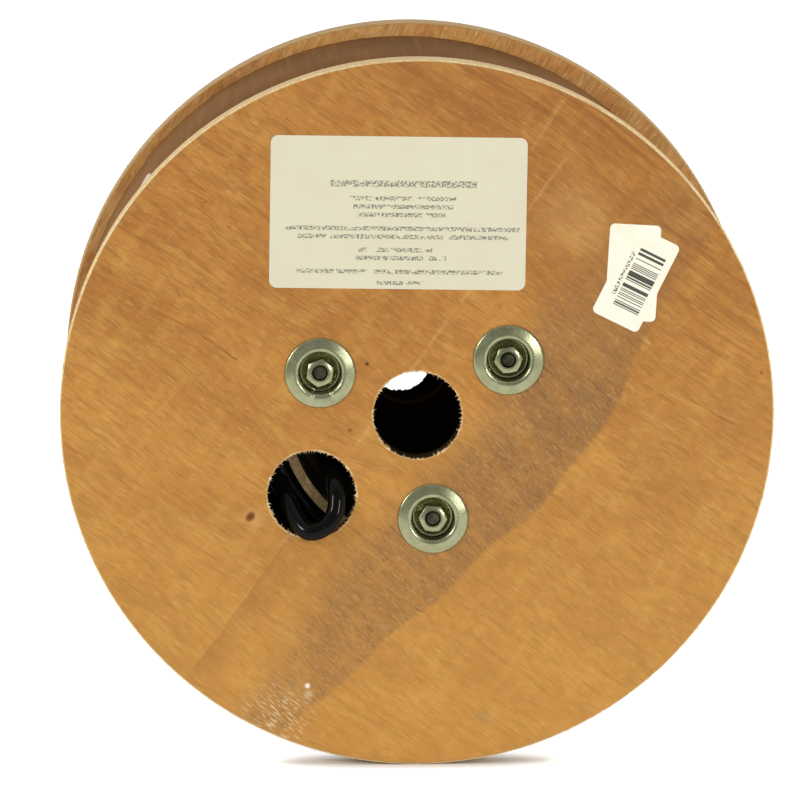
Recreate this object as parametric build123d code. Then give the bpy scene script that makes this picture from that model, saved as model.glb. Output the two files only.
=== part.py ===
from build123d import *
import os
from math import cos, radians, sin, tan

# Plywood cable drum, full of cable, standing on its two flange rims.
# It is drawn facing the viewer: x to the right, y up, z out of the front flange,
# with the origin on the spindle axis, halfway between the flanges.

# Drum
flange_diameter = 280.0
flange_thickness = 12.0
drum_width = 140.0
rim_chamfer = 0.8
bore_diameter = 35.0

# Core tube and its routed seat in each flange
tube_outer_diameter = 108.0
tube_wall = 4.0
tube_seat_depth = 4.0
tube_seat_clearance = 0.2

# Start hole, astride the tube's wall
start_hole_diameter = 35.0
start_hole_angle = 217.2

# Bolts, inside the tube, drilled by hand a little off an even spacing
bolt_tube_gap = 8.3
bolt_angles = (31.4, 156.1, 278.4)
bolt_diameter = 6.0
bolt_hole_clearance = 0.3
bolt_end_recess = 0.8
bolt_end_chamfer = 0.7
head_across_flats = 10.0
head_height = 4.0

# Flange nuts
nut_across_flats = 10.0
nut_height = 6.0
nut_flange_diameter = 14.2
nut_flange_edge = 1.1
nut_flange_rise = 2.6
nut_thread_clearance = 0.1
nut_countersink = 0.5
corner_chamfer_angle = 30.0

# Pressed washers: a rim on the wood, a rounded crest and a well for nut or head
washer_diameter = 28.0
washer_sheet = 1.0
washer_crest_rise = 0.9
washer_well_diameter = 16.4
washer_well_depth = 5.0
washer_crest_bend = 1.4
washer_floor_bend = 0.8
washer_well_clearance = 0.4

# Cable and the board wrapped round it
cable_diameter = 7.2
turn_groove_depth = 1.4
winding_clearance = 0.2
wrap_outer_diameter = 267.0
wrap_thickness = 3.0

# Inner cable end, in the start hole: along the tube's wall, away from the spindle, out of the face
inner_end_route = (
    (-17.0, 6.5, -22.0),
    (-10.0, 8.0, -12.0),
    (8.2, 12.0, 2.4),
    (13.0, 6.5, 5.2),
    (12.0, -3.0, 3.5),
    (4.0, -9.3, 0.5),
    (-4.5, -11.0, -14.0),
    (-10.0, -14.5, -28.0),
    (-14.5, -18.0, -41.0),
)
route_run_share = 0.45

# Paper on the front face, set out from the flange's rim
label_width = 100.0
label_height = 60.0
label_corner = 3.0
label_thickness = 0.15
label_drop = 60.0
label_shift = -7.5
label_turn = -0.9
sticker_width = 20.0
sticker_height = 38.0
sticker_corner = 2.0
sticker_thickness = 0.12
lower_sticker_inset = 38.9
lower_sticker_angle = 33.7
lower_sticker_turn = -3.4
upper_sticker_inset = 39.2
upper_sticker_angle = 32.1
upper_sticker_turn = -26.5

# Overrun of every cutting tool
overrun = 1.0

# Sizes that follow from the ones above
front_face = drum_width / 2
front_inner = front_face - flange_thickness
tube_radius = tube_outer_diameter / 2
tube_length = 2 * (front_inner + tube_seat_depth)
start_hole_radius = tube_radius - tube_wall / 2
bolt_radius = tube_radius - tube_wall - bolt_tube_gap
bolt_hole_radius = bolt_diameter / 2 + bolt_hole_clearance
well_radius = washer_well_diameter / 2
well_seat_radius = well_radius + washer_sheet + washer_well_clearance
well_seat_depth = washer_well_depth + washer_sheet
nut_seat = front_face - washer_well_depth
wrap_inner_radius = wrap_outer_diameter / 2 - wrap_thickness
winding_inner_radius = tube_radius + winding_clearance
winding_outer_radius = wrap_inner_radius - winding_clearance

UPRIGHT = (Align.CENTER, Align.CENTER, Align.MIN)
HANGING = (Align.CENTER, Align.CENTER, Align.MAX)
TO_FRAME = Rot(90, 0, 0)


def ring(outer_radius, inner_radius, length):
    """A plain ring centred on the drum's axis."""
    return Cylinder(outer_radius, length) - Cylinder(inner_radius, length + 2 * overrun)


def turned(*points, radii):
    """A solid turned about the axis from an outline of (radius, height) points and corner radii."""
    outline = FilletPolyline(*points, radius=radii, close=True)
    return revolve(Plane.XZ * make_face(outline), axis=Axis.Z)


def hexagon(across_flats, height, *, top_chamfer):
    """A hexagon bar end with its corners turned off at the top, or at the bottom."""
    corner_radius = across_flats / 2 / cos(radians(30))
    drop = (corner_radius - across_flats / 2) * tan(radians(corner_chamfer_angle))
    bar = extrude(RegularPolygon(across_flats / 2, 6, major_radius=False), height)
    high = ((0, 0), (corner_radius, 0), (corner_radius, height - drop), (across_flats / 2, height), (0, height))
    low = tuple((radius, height - level) for radius, level in high)
    outline = Polyline(*(high if top_chamfer else low), close=True)
    return bar & revolve(Plane.XZ * make_face(outline), axis=Axis.Z)


def bolt_places():
    """The bolt centres on the face."""
    return [(bolt_radius * cos(radians(a)), bolt_radius * sin(radians(a))) for a in bolt_angles]


def flange(*, with_start_hole):
    """A plywood board: bored, drilled and counterbored for the bolts, grooved for the tube."""
    board = Cylinder(flange_diameter / 2, flange_thickness, align=HANGING)
    board = chamfer(board.edges().filter_by(GeomType.CIRCLE), rim_chamfer)
    through = flange_thickness + 2 * overrun
    board -= Pos(0, 0, overrun) * Cylinder(bore_diameter / 2, through, align=HANGING)
    seat_outer = tube_radius + tube_seat_clearance
    seat_inner = tube_radius - tube_wall - tube_seat_clearance
    seat = Cylinder(seat_outer, tube_seat_depth + overrun, align=UPRIGHT)
    seat -= Cylinder(seat_inner, tube_seat_depth + overrun, align=UPRIGHT)
    board -= Pos(0, 0, -flange_thickness - overrun) * seat
    for x, y in bolt_places():
        board -= Pos(x, y, overrun) * Cylinder(bolt_hole_radius, through, align=HANGING)
        board -= Pos(x, y, overrun) * Cylinder(well_seat_radius, well_seat_depth + overrun, align=HANGING)
    if with_start_hole:
        x = start_hole_radius * cos(radians(start_hole_angle))
        y = start_hole_radius * sin(radians(start_hole_angle))
        board -= Pos(x, y, overrun) * Cylinder(start_hole_diameter / 2, through, align=HANGING)
    return Pos(0, 0, front_face) * board


def core_tube():
    """The kraft tube, seated in both flanges."""
    return ring(tube_radius, tube_radius - tube_wall, tube_length)


def cable_winding():
    """The wound cable as one turned solid; a groove between each two layers shows its turns on the ends."""
    depth = winding_outer_radius - winding_inner_radius
    layers = round(depth / cable_diameter)
    pitch = depth / layers
    edge = [(winding_inner_radius, front_inner)]
    for layer in range(1, layers):
        valley = winding_inner_radius + layer * pitch
        edge.append((valley - turn_groove_depth, front_inner))
        edge.append((valley, front_inner - turn_groove_depth))
        edge.append((valley + turn_groove_depth, front_inner))
    edge.append((winding_outer_radius, front_inner))
    other_edge = [(radius, -level) for radius, level in reversed(edge)]
    outline = Polyline(*edge, *other_edge, close=True)
    return revolve(Plane.XZ * make_face(outline), axis=Axis.Z)


def inner_cable_end():
    """The cable's start: out of the winding, over the tube's end in the start hole, into the tube."""
    along = Vector(-sin(radians(start_hole_angle)), cos(radians(start_hole_angle)), 0)
    away = Vector(cos(radians(start_hole_angle)), sin(radians(start_hole_angle)), 0)
    mouth = away * start_hole_radius + Vector(0, 0, front_face)
    points = [mouth + along * a + away * b + Vector(0, 0, c) for a, b, c in inner_end_route]
    runs = [after - before for before, after in zip(points, points[1:])]
    radii = []
    for before, after in zip(runs, runs[1:]):
        half_turn = radians(before.get_angle(after) / 2)
        radii.append(route_run_share * min(before.length, after.length) / tan(half_turn))
    print("inner cable end bend radii:", [round(radius, 1) for radius in radii])
    path = FilletPolyline(*points, radius=radii)
    cable = sweep(Plane(path @ 0, z_dir=path % 0) * Circle(cable_diameter / 2), path)
    wound = ring(winding_outer_radius, winding_inner_radius, 2 * front_inner)
    return cable - wound


def board_wrap():
    """The strip of board round the winding."""
    return ring(wrap_outer_diameter / 2, wrap_inner_radius, 2 * front_inner)


def washer():
    """A pressed washer: its rim rests on the wood and its floor on the counterbore."""
    hole = bolt_hole_radius
    rim = washer_diameter / 2
    wall = well_radius + washer_sheet
    floor = -washer_well_depth
    crest = washer_sheet + washer_crest_rise
    return turned(
        (hole, floor),
        (well_radius, floor),
        (well_radius, crest),
        (rim, washer_sheet),
        (rim, 0),
        (wall, washer_crest_rise),
        (wall, floor - washer_sheet),
        (hole, floor - washer_sheet),
        radii=(
            0,
            washer_floor_bend,
            washer_crest_bend + washer_sheet,
            0,
            0,
            washer_crest_bend,
            washer_floor_bend + washer_sheet,
            0,
        ),
    )


def flange_nut():
    """A hexagon nut with a sloping round flange under it."""
    nut = hexagon(nut_across_flats, nut_height, top_chamfer=True)
    skirt = Polyline(
        (0, 0),
        (nut_flange_diameter / 2, 0),
        (nut_flange_diameter / 2, nut_flange_edge),
        (nut_across_flats / 2, nut_flange_rise),
        (0, nut_flange_rise),
        close=True,
    )
    nut += revolve(Plane.XZ * make_face(skirt), axis=Axis.Z)
    thread = bolt_diameter / 2 + nut_thread_clearance
    nut -= Cylinder(thread, nut_height, align=UPRIGHT)
    mouth = Cone(thread, thread + nut_countersink, nut_countersink, align=HANGING)
    return nut - Pos(0, 0, nut_height) * mouth


def bolt():
    """A hexagon bolt: its head in a rear washer's well, its end just below the nut's face."""
    end = nut_seat + nut_height - bolt_end_recess
    length = end + nut_seat
    shank = Cylinder(bolt_diameter / 2, length, align=UPRIGHT)
    shank = chamfer(shank.edges().filter_by(GeomType.CIRCLE).sort_by(Axis.Z)[-1], bolt_end_chamfer)
    head = hexagon(head_across_flats, head_height, top_chamfer=False)
    return Pos(0, 0, -nut_seat) * (shank + Pos(0, 0, -head_height) * head)


def paper(width, height, corner, thickness):
    """A sheet of paper with rounded corners."""
    return extrude(RectangleRounded(width, height, corner), thickness)


def on_face(inset, angle, turn):
    """A place on the front face, an inset from the rim at an angle round the axis, turned in the face."""
    reach = flange_diameter / 2 - inset
    return Pos(reach * cos(radians(angle)), reach * sin(radians(angle)), front_face) * Rot(0, 0, turn)


nodes = {}
nodes["front_flange"] = flange(with_start_hole=True)
nodes["rear_flange"] = mirror(flange(with_start_hole=False), about=Plane.XY)
nodes["core_tube"] = core_tube()
nodes["cable_winding"] = cable_winding()
nodes["inner_cable_end"] = inner_cable_end()
nodes["board_wrap"] = board_wrap()
for number, (bolt_x, bolt_y) in enumerate(bolt_places(), start=1):
    front_washer = Pos(bolt_x, bolt_y, front_face) * washer()
    nodes[f"front_washer_{number}"] = front_washer
    nodes[f"rear_washer_{number}"] = mirror(front_washer, about=Plane.XY)
    nodes[f"bolt_{number}"] = Pos(bolt_x, bolt_y, 0) * bolt()
    nodes[f"nut_{number}"] = Pos(bolt_x, bolt_y, nut_seat) * flange_nut()
label_place = Pos(label_shift, flange_diameter / 2 - label_drop, front_face) * Rot(0, 0, label_turn)
nodes["label"] = label_place * paper(label_width, label_height, label_corner, label_thickness)
sticker = paper(sticker_width, sticker_height, sticker_corner, sticker_thickness)
lower_place = on_face(lower_sticker_inset, lower_sticker_angle, lower_sticker_turn)
nodes["lower_sticker"] = lower_place * sticker
upper_place = on_face(upper_sticker_inset, upper_sticker_angle, upper_sticker_turn)
nodes["upper_sticker"] = Pos(0, 0, sticker_thickness) * upper_place * sticker

os.makedirs("parts", exist_ok=True)
for name, shape in nodes.items():
    export_step(TO_FRAME * shape, f"parts/{name}.step")
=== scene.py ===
"""Looks of a plywood cable drum: flanges, wound cable, core tube, board wrap, fasteners and paper.

The drum's sizes are in millimetres, and the studio's in metres. The drum's axis lies along Y, the
front flange faces -Y, Z is up, and X is to the right seen from the front.
"""

import logging
import math
import random
from dataclasses import dataclass
from enum import Enum
from functools import partial
from typing import Callable, Optional, Sequence

import bmesh
import bpy
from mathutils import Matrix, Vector


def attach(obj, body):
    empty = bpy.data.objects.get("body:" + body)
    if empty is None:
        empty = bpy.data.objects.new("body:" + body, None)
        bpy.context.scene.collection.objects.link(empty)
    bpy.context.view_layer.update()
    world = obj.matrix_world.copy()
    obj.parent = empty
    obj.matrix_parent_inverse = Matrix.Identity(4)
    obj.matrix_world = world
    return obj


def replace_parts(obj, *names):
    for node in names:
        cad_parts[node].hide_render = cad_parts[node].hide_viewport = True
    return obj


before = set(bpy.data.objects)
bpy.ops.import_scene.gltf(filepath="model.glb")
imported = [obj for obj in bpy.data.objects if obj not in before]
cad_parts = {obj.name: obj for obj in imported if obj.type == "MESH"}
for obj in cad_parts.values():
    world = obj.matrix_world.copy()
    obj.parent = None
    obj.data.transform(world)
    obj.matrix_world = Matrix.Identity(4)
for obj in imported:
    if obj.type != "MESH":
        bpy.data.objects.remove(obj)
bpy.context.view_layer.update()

LOG = logging.getLogger("cable_drum")
MM = 0.001
PER_MM = 1000.0

Socket = bpy.types.NodeSocket
Add = Callable[..., Optional[Socket]]
Point = tuple[float, float, float]
Outline = list[tuple[float, float]]


class Slot(Enum):
    """The record's material slots."""

    PLYWOOD = "plywood"
    KRAFT = "kraft_board"
    SHEATH = "cable_sheath"
    ZINC = "zinc_steel"
    PAPER = "label_paper"


class Side(Enum):
    """The two flanges, by the way their outer faces point along Y."""

    FRONT = -1
    REAR = 1


class Print(Enum):
    """What is printed on a piece of paper."""

    BARE = "bare"
    ROWS = "rows"
    BARS = "bars"


def linear(hex_colour: str) -> tuple[float, float, float, float]:
    """Turns an sRGB hex value into a linear colour.

    Args:
        hex_colour: The colour as "#RRGGBB".

    Returns:
        Linear red, green and blue, and full alpha.
    """
    channels = [int(hex_colour[i : i + 2], 16) / 255 for i in (1, 3, 5)]
    red, green, blue = (c / 12.92 if c <= 0.04045 else ((c + 0.055) / 1.055) ** 2.4 for c in channels)
    return red, green, blue, 1.0


def wire(
    tree: bpy.types.NodeTree,
    kind: str,
    inputs: Optional[dict] = None,
    out: Optional[str] = None,
    curve: Sequence[tuple[float, float]] = (),
    **settings,
) -> Optional[Socket]:
    """Adds a node with its settings and links.

    Args:
        tree: The node tree that gets the node.
        kind: The node's type, without the leading "ShaderNode".
        inputs: Sockets to link or values to set, by the input's name or number.
        out: The name of the output to return; the first one if not given.
        curve: Points of the node's curve, where it has one.
        **settings: The node's own properties.

    Returns:
        The output socket, or None if the node has no output.
    """
    made = tree.nodes.new("ShaderNode" + kind)
    for name, value in settings.items():
        setattr(made, name, value)
    if curve:
        line = made.mapping.curves[0]
        line.points[0].location, line.points[1].location = curve[0], curve[-1]
        for place in curve[1:-1]:
            line.points.new(*place)
        made.mapping.update()
    for key, value in (inputs or {}).items():
        if isinstance(key, int):
            socket = made.inputs[key]
        else:
            socket = next(s for s in made.inputs if s.enabled and s.name == key)
        if isinstance(value, bpy.types.NodeSocket):
            tree.links.new(value, socket)
        else:
            socket.default_value = value
    return next((s for s in made.outputs if s.enabled and out in (None, s.name)), None)


@dataclass(frozen=True)
class Finish:
    """A material that is made once and shared by the pieces that wear it."""

    name: str

    def material(self) -> bpy.types.Material:
        """Gives the Blender material, and makes it on the first call.

        Returns:
            The material.
        """
        found = bpy.data.materials.get(self.name)
        if found:
            return found
        made = bpy.data.materials.new(self.name)
        made.use_nodes = True
        made.node_tree.nodes.clear()
        add = partial(wire, made.node_tree)
        add("OutputMaterial", {"Surface": self.shade(add)})
        return made

    def shade(self, add: Add) -> Socket:
        """Builds the surface shader.

        Args:
            add: Adds a node to this material's tree.

        Returns:
            The shader socket.
        """
        raise NotImplementedError

    def pattern(
        self, add: Add, place: Socket, cell: Point, low: float, high: float, detail: float = 2.0
    ) -> Socket:
        """Draws soft noise whose cells have a real size.

        Args:
            add: Adds a node to this material's tree.
            place: The coordinates, in metres.
            cell: The size of a cell along each coordinate, in millimetres.
            low: The noise value that becomes 0.
            high: The noise value that becomes 1.
            detail: How much finer noise is laid over the cells.

        Returns:
            A value from 0 to 1.
        """
        scale = tuple(PER_MM / size for size in cell)
        scaled = add("VectorMath", {0: place, 1: scale}, operation="MULTIPLY")
        noise = add("TexNoise", {"Vector": scaled, "Scale": 1.0, "Detail": detail})
        return add(
            "MapRange",
            {"Value": noise, "From Min": low, "From Max": high},
            interpolation_type="SMOOTHSTEP",
        )

    def stain(self, add: Add, under: Socket, mask: Socket, share: float, hex_colour: str) -> Socket:
        """Lays a colour over another where a mask says so.

        Args:
            add: Adds a node to this material's tree.
            under: The colour below.
            mask: Where the new colour lies, from 0 to 1.
            share: How strongly it covers at most.
            hex_colour: The new colour.

        Returns:
            The mixed colour.
        """
        factor = add("Math", {0: mask, 1: share}, operation="MULTIPLY")
        return add("Mix", {"Factor": factor, "A": under, "B": linear(hex_colour)}, data_type="RGBA")


@dataclass(frozen=True)
class Layer:
    """One layer of a veneer's figure, drawn as soft noise.

    A cell is given in millimetres along the grain, through the sheet and across the grain. The
    noise from low to high fades the layer in, and share is how strongly it stains at most.
    """

    cell: Point
    low: float
    high: float
    detail: float
    share: float
    colour: str


@dataclass(frozen=True)
class Spot:
    """A small mark or a soft patch on the front face."""

    x: float
    z: float
    radius: float
    soft: float
    share: float
    colour: str


@dataclass(frozen=True)
class FaceLine:
    """A straight mark on the front face: a veneer joint, a crack or a wrinkle.

    A one-sided mark is strongest along the line and fades to its right, as where a darker sheet of
    veneer begins.
    """

    start: tuple[float, float]
    end: tuple[float, float]
    width: float
    share: float
    colour: str
    one_sided: bool = False


@dataclass(frozen=True)
class OkoumePlywood(Finish):
    """Okoume plywood with a sanded, rotary-cut face veneer over pale poplar cores, sawn round.

    The veneer gives the eye a warm tan with soft patches, short dark pores along the grain and a
    faint cross figure. The sawn edge is paler, with plies and thin dark glue lines.
    """

    side: Side = Side.FRONT
    veneer_deep: str = "#B27530"
    veneer: str = "#C3863B"
    veneer_pale: str = "#DDA852"
    pore: str = "#864C1B"
    fleck: str = "#E0B878"
    fleck_share: float = 0.32
    figure: str = "#8C5524"
    residue: str = "#866039"
    film_stroke: str = "#6A4628"
    film_fleck: str = "#CBB08A"
    glint: str = "#F4E6BC"
    ply_long: str = "#F6DCA4"
    ply_end: str = "#E0B87A"
    glue: str = "#8E6538"
    scorch: str = "#1E130A"
    grain_angle: float = -36.0
    film_angle: float = -48.0
    rear_sheet: Point = (370.0, 0.0, 210.0)
    sway: float = 10.0
    sway_length: float = 70.0
    ripple: float = 2.2
    ripple_length: float = 9.0
    pore_cell: Point = (4.6, 1.0, 0.55)
    figure_side: Point = (0.62, 0.0, 0.78)
    film_end: Point = (-56.0, -70.0, -121.0)
    film_rough: float = 0.42
    half_width: float = 70.0
    ply: float = 2.4
    glue_line: float = 0.14
    face_from: float = 0.85
    core: float = 50.0
    # Painted shade: the colour of the inner face inside the core tube.
    core_shade_colour: str = "#44301E"
    bore: float = 17.5
    bores: tuple[tuple[float, float], ...] = ((0.0, 0.0),)
    lines: tuple[FaceLine, ...] = (
        FaceLine((-52.0, -50.8), (57.9, 101.3), 1.1, 0.22, "#E0B878"),
        FaceLine((-88.5, -101.3), (-50.5, -48.7), 12.0, 0.34, "#98602C", True),
        FaceLine((43.8, 103.7), (56.6, 124.0), 1.1, 0.16, "#E0B878"),
        FaceLine((-102.0, 41.8), (-85.1, 32.7), 0.8, 0.42, "#8A4E1C"),
        FaceLine((-85.1, 32.7), (-70.2, 22.3), 0.7, 0.62, "#8A4E1C"),
        FaceLine((-96.9, 100.2), (-78.5, 85.5), 0.8, 0.36, "#8A5220"),
        FaceLine((76.9, 17.6), (87.9, 12.4), 0.8, 0.40, "#94602C"),
        FaceLine((87.9, 12.4), (101.6, 3.3), 0.8, 0.52, "#94602C"),
        FaceLine((104.8, 7.2), (118.5, -1.5), 0.8, 0.48, "#94602C"),
        FaceLine((118.5, -1.5), (125.9, -4.7), 0.8, 0.52, "#94602C"),
        FaceLine((116.0, 0.9), (126.4, -3.6), 0.8, 0.26, "#E0B878"),
        FaceLine((74.2, 8.0), (101.6, -5.9), 0.9, 0.22, "#E0B878"),
    )
    spots: tuple[Spot, ...] = (
        Spot(60.0, 77.0, 9.0, 14.0, 0.18, "#DDB273"),
        Spot(127.0, -3.0, 8.0, 14.0, 0.26, "#9A6230"),
        Spot(91.0, -26.0, 10.0, 20.0, 0.18, "#9A6230"),
        Spot(-63.9, -40.6, 2.8, 3.0, 0.32, "#DDB273"),
        Spot(-66.0, -40.6, 1.2, 0.9, 0.86, "#6E3610"),
        Spot(-65.1, -39.6, 1.2, 0.9, 0.86, "#6E3610"),
        Spot(-19.7, 20.4, 0.6, 0.5, 0.85, "#4A2A14"),
        Spot(-26.4, -5.9, 0.6, 0.5, 0.6, "#6A3F1C"),
        Spot(134.9, 16.3, 0.5, 0.5, 0.6, "#6A3F1C"),
        Spot(25.7, -121.0, 2.0, 2.0, 0.25, "#8C7A5E"),
        Spot(-43.3, -108.0, 0.9, 0.5, 0.95, "#FBF3DE"),
        Spot(-43.0, -111.6, 0.6, 2.0, 0.30, "#F0E2BE"),
    )
    residue_low_edge: tuple[tuple[float, float], ...] = (
        (-150.0, 45.0),
        (-130.0, 46.0),
        (-92.0, 50.3),
        (-70.0, 50.8),
        (-42.0, 55.4),
        (-19.0, 54.7),
        (0.0, 58.8),
        (27.0, 56.5),
        (53.0, 53.6),
        (77.0, 44.8),
        (150.0, 30.0),
    )
    residue_high_edge: tuple[tuple[float, float], ...] = (
        (-150.0, 30.0),
        (-131.0, 27.0),
        (-97.0, 21.0),
        (-69.0, 14.0),
        (-25.0, 15.0),
        (2.0, 17.0),
        (38.0, 12.0),
        (63.0, 3.0),
        (150.0, 8.0),
    )
    residue_turn: float = 46.9
    residue_reach: float = 150.0

    def shade(self, add: Add) -> Socket:
        """Builds the plywood shader.

        Args:
            add: Adds a node to this material's tree.

        Returns:
            The shader socket.
        """
        place = add("TexCoord", out="Object")
        grain = self.grain_place(add, place)
        # Real pores are about 0.2 mm wide; they are drawn coarser so that they show.
        pores = self.pattern(add, grain, self.pore_cell, 0.57, 0.70, 2.0)
        face = self.veneer_colour(add, grain, pores)
        gloss = add("MapRange", {"Value": pores, "To Min": 0.55, "To Max": 0.70})
        if self.side is Side.FRONT:
            face, gloss = self.face_marks(add, place, grain, face, gloss)
        normal = add("SeparateXYZ", {0: add("NewGeometry", out="Normal")}, out="Y")
        flatness = add("Math", {0: normal}, operation="ABSOLUTE")
        on_face = add("Math", {0: flatness, 1: self.face_from}, operation="GREATER_THAN")
        burnt = self.burnt_mask(add, place)
        edge = self.stain(add, self.edge_colour(add, place), burnt, 0.95, self.scorch)
        colour = add("Mix", {"Factor": on_face, "A": edge, "B": face}, data_type="RGBA")
        # Painted shade: the inner face inside the core tube is coloured nearly black and loses its
        # sheen.
        painted_core_shade = self.core_shade_mask(add, place, normal)
        colour = self.stain(add, colour, painted_core_shade, 0.95, self.core_shade_colour)
        raw = add("Math", {0: burnt, 1: on_face}, operation="SUBTRACT")
        raw = add("Math", {0: raw, 1: painted_core_shade}, operation="MAXIMUM")
        sheen = add("MapRange", {"Value": raw, "To Min": 0.3, "To Max": 0.0})
        # Raised fibres are about 0.05 mm wide; they are drawn coarser so that they show.
        fibres = self.pattern(add, grain, (14.0, 1.0, 0.45), 0.3, 0.7, 3.0)
        bump = add("Bump", {"Height": fibres, "Strength": 0.25, "Distance": 0.12 * MM})
        return add(
            "BsdfPrincipled",
            {
                "Base Color": colour,
                "Roughness": gloss,
                "IOR": 1.5,
                "Specular IOR Level": sheen,
                "Normal": bump,
            },
        )

    def grain_place(self, add: Add, place: Socket) -> Socket:
        """Turns the drum's coordinates to the grain, which sways a little.

        Args:
            add: Adds a node to this material's tree.
            place: Coordinates in the drum's frame.

        Returns:
            Coordinates with X along the grain.
        """
        if self.side is Side.REAR:
            other_sheet = tuple(c * MM for c in self.rear_sheet)
            place = add("VectorMath", {0: place, 1: other_sheet}, operation="ADD")
        return add(
            "VectorRotate",
            {
                "Vector": self.bent(add, place, self.sway, self.sway_length, 1.0),
                "Axis": (0.0, 1.0, 0.0),
                "Angle": math.radians(self.grain_angle),
            },
            rotation_type="AXIS_ANGLE",
        )

    def bent(self, add: Add, place: Socket, shift: float, length: float, detail: float) -> Socket:
        """Bends the face's coordinates softly, so that straight lines waver.

        Args:
            add: Adds a node to this material's tree.
            place: The coordinates.
            shift: How far they move, in millimetres.
            length: How long a bend is, in millimetres.
            detail: How much finer bends are laid over it.

        Returns:
            The bent coordinates.
        """
        drift = add(
            "TexNoise",
            {"Vector": place, "Scale": PER_MM / length, "Detail": detail},
            out="Color",
        )
        drift = add("VectorMath", {0: drift, 1: (0.5, 0.5, 0.5)}, operation="SUBTRACT")
        return add(
            "VectorMath",
            {0: drift, 1: (shift * MM, 0.0, shift * MM), 2: place},
            operation="MULTIPLY_ADD",
        )

    def layers(self) -> tuple[Layer, ...]:
        """Lists the veneer's figure: pale mottle, cross figure, clouds, fibres and streaks.

        Returns:
            The layers, from the lowest up.
        """
        # Fibres are finer than this in the wood; they are drawn coarser so that they show.
        return (
            Layer((20.0, 9.0, 9.0), 0.44, 0.74, 5.0, 0.38, self.veneer_pale),
            Layer((5.0, 4.0, 26.0), 0.46, 0.74, 3.0, 0.26, self.veneer_pale),
            Layer((7.0, 3.0, 2.0), 0.44, 0.66, 5.0, 0.34, self.figure),
            Layer((14.0, 2.0, 0.8), 0.50, 0.74, 5.0, 0.58, self.figure),
            Layer((46.0, 4.0, 2.6), 0.56, 0.78, 3.0, 0.46, self.figure),
        )

    def veneer_colour(self, add: Add, grain: Socket, pores: Socket) -> Socket:
        """Colours the face veneer: broad patches, its figure, pores and flecks.

        Args:
            add: Adds a node to this material's tree.
            grain: Coordinates turned to the grain.
            pores: Where the pores lie.

        Returns:
            The colour.
        """
        patches = self.pattern(add, grain, (80.0, 40.0, 34.0), 0.30, 0.70, 2.0)
        colour = add(
            "Mix",
            {"Factor": patches, "A": linear(self.veneer_deep), "B": linear(self.veneer)},
            data_type="RGBA",
        )
        for layer in self.layers():
            mask = self.pattern(add, grain, layer.cell, layer.low, layer.high, layer.detail)
            colour = self.stain(add, colour, mask, layer.share, layer.colour)
        clusters = self.pattern(add, grain, (30.0, 16.0, 15.0), 0.42, 0.62, 2.0)
        dense = add("Math", {0: pores, 1: clusters}, operation="MULTIPLY")
        colour = self.stain(add, colour, pores, 0.24, self.pore)
        colour = self.stain(add, colour, dense, 0.44, self.pore)
        flecks = self.pattern(add, grain, (5.0, 1.0, 0.9), 0.55, 0.72, 3.0)
        return self.stain(add, colour, flecks, self.fleck_share, self.fleck)

    def edge_colour(self, add: Add, place: Socket) -> Socket:
        """Colours the sawn edge and the bores: plies that alternate, and glue lines between them.

        Args:
            add: Adds a node to this material's tree.
            place: Coordinates in the drum's frame.

        Returns:
            The colour.
        """
        y = add("SeparateXYZ", {0: place}, out="Y")
        away = add("Math", {0: y}, operation="ABSOLUTE")
        depth = add("Math", {0: away, 1: -PER_MM, 2: self.half_width}, operation="MULTIPLY_ADD")
        turn = add("Math", {0: depth, 1: self.ply}, operation="PINGPONG")
        long_grain = add(
            "MapRange",
            {"Value": turn, "From Min": 0.45 * self.ply, "From Max": 0.55 * self.ply},
        )
        tufts = self.pattern(add, place, (1.4, 0.7, 1.4), 0.35, 0.7, 3.0)
        ply = add(
            "Mix",
            {"Factor": tufts, "A": linear(self.ply_long), "B": linear(self.ply_end)},
            data_type="RGBA",
        )
        factor = add("Math", {0: long_grain, 1: 0.5}, operation="MULTIPLY")
        ply = add("Mix", {"Factor": factor, "A": ply, "B": linear(self.ply_end)}, data_type="RGBA")
        near = add("Math", {0: depth, 1: self.ply / 2}, operation="PINGPONG")
        # Glue lines are about 0.1 mm thick; they are drawn a little thicker so that they show.
        line = add(
            "MapRange",
            {"Value": near, "From Min": 2.2 * self.glue_line, "From Max": self.glue_line},
        )
        dirt = self.pattern(add, place, (16.0, 3.0, 16.0), 0.5, 0.72, 3.0)
        ply = self.stain(add, ply, dirt, 0.36, self.veneer_deep)
        return self.stain(add, ply, line, 0.65, self.glue)

    def burnt_mask(self, add: Add, place: Socket) -> Socket:
        """Finds the walls of the bores, which the hole saw has burnt.

        Args:
            add: Adds a node to this material's tree.
            place: Coordinates in the drum's frame.

        Returns:
            A mask from 0 to 1.
        """
        flat = add("VectorMath", {0: place, 1: (1.0, 0.0, 1.0)}, operation="MULTIPLY")
        total = None
        for x, z in self.bores:
            centre = (x * MM, 0.0, z * MM)
            reach = add("VectorMath", {0: flat, 1: centre}, out="Value", operation="DISTANCE")
            near = add("Math", {0: reach, 1: (self.bore + 0.5) * MM}, operation="LESS_THAN")
            total = add("Math", {0: total, 1: near}, operation="MAXIMUM") if total else near
        return total

    def core_shade_mask(self, add: Add, place: Socket, normal: Socket) -> Socket:
        """Finds the part of the inner face inside the core tube, where shade is painted nearly black.

        Args:
            add: Adds a node to this material's tree.
            place: Coordinates in the drum's frame.
            normal: How far the surface faces along Y.

        Returns:
            A mask of 0 or 1.
        """
        facing = add("Math", {0: normal, 1: self.side.value}, operation="MULTIPLY")
        inward = add("Math", {0: facing, 1: -self.face_from}, operation="LESS_THAN")
        flat = add("VectorMath", {0: place, 1: (1.0, 0.0, 1.0)}, operation="MULTIPLY")
        radius = add("VectorMath", {0: flat}, out="Value", operation="LENGTH")
        within = add("Math", {0: radius, 1: self.core * MM}, operation="LESS_THAN")
        return add("Math", {0: inward, 1: within}, operation="MULTIPLY")

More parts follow.
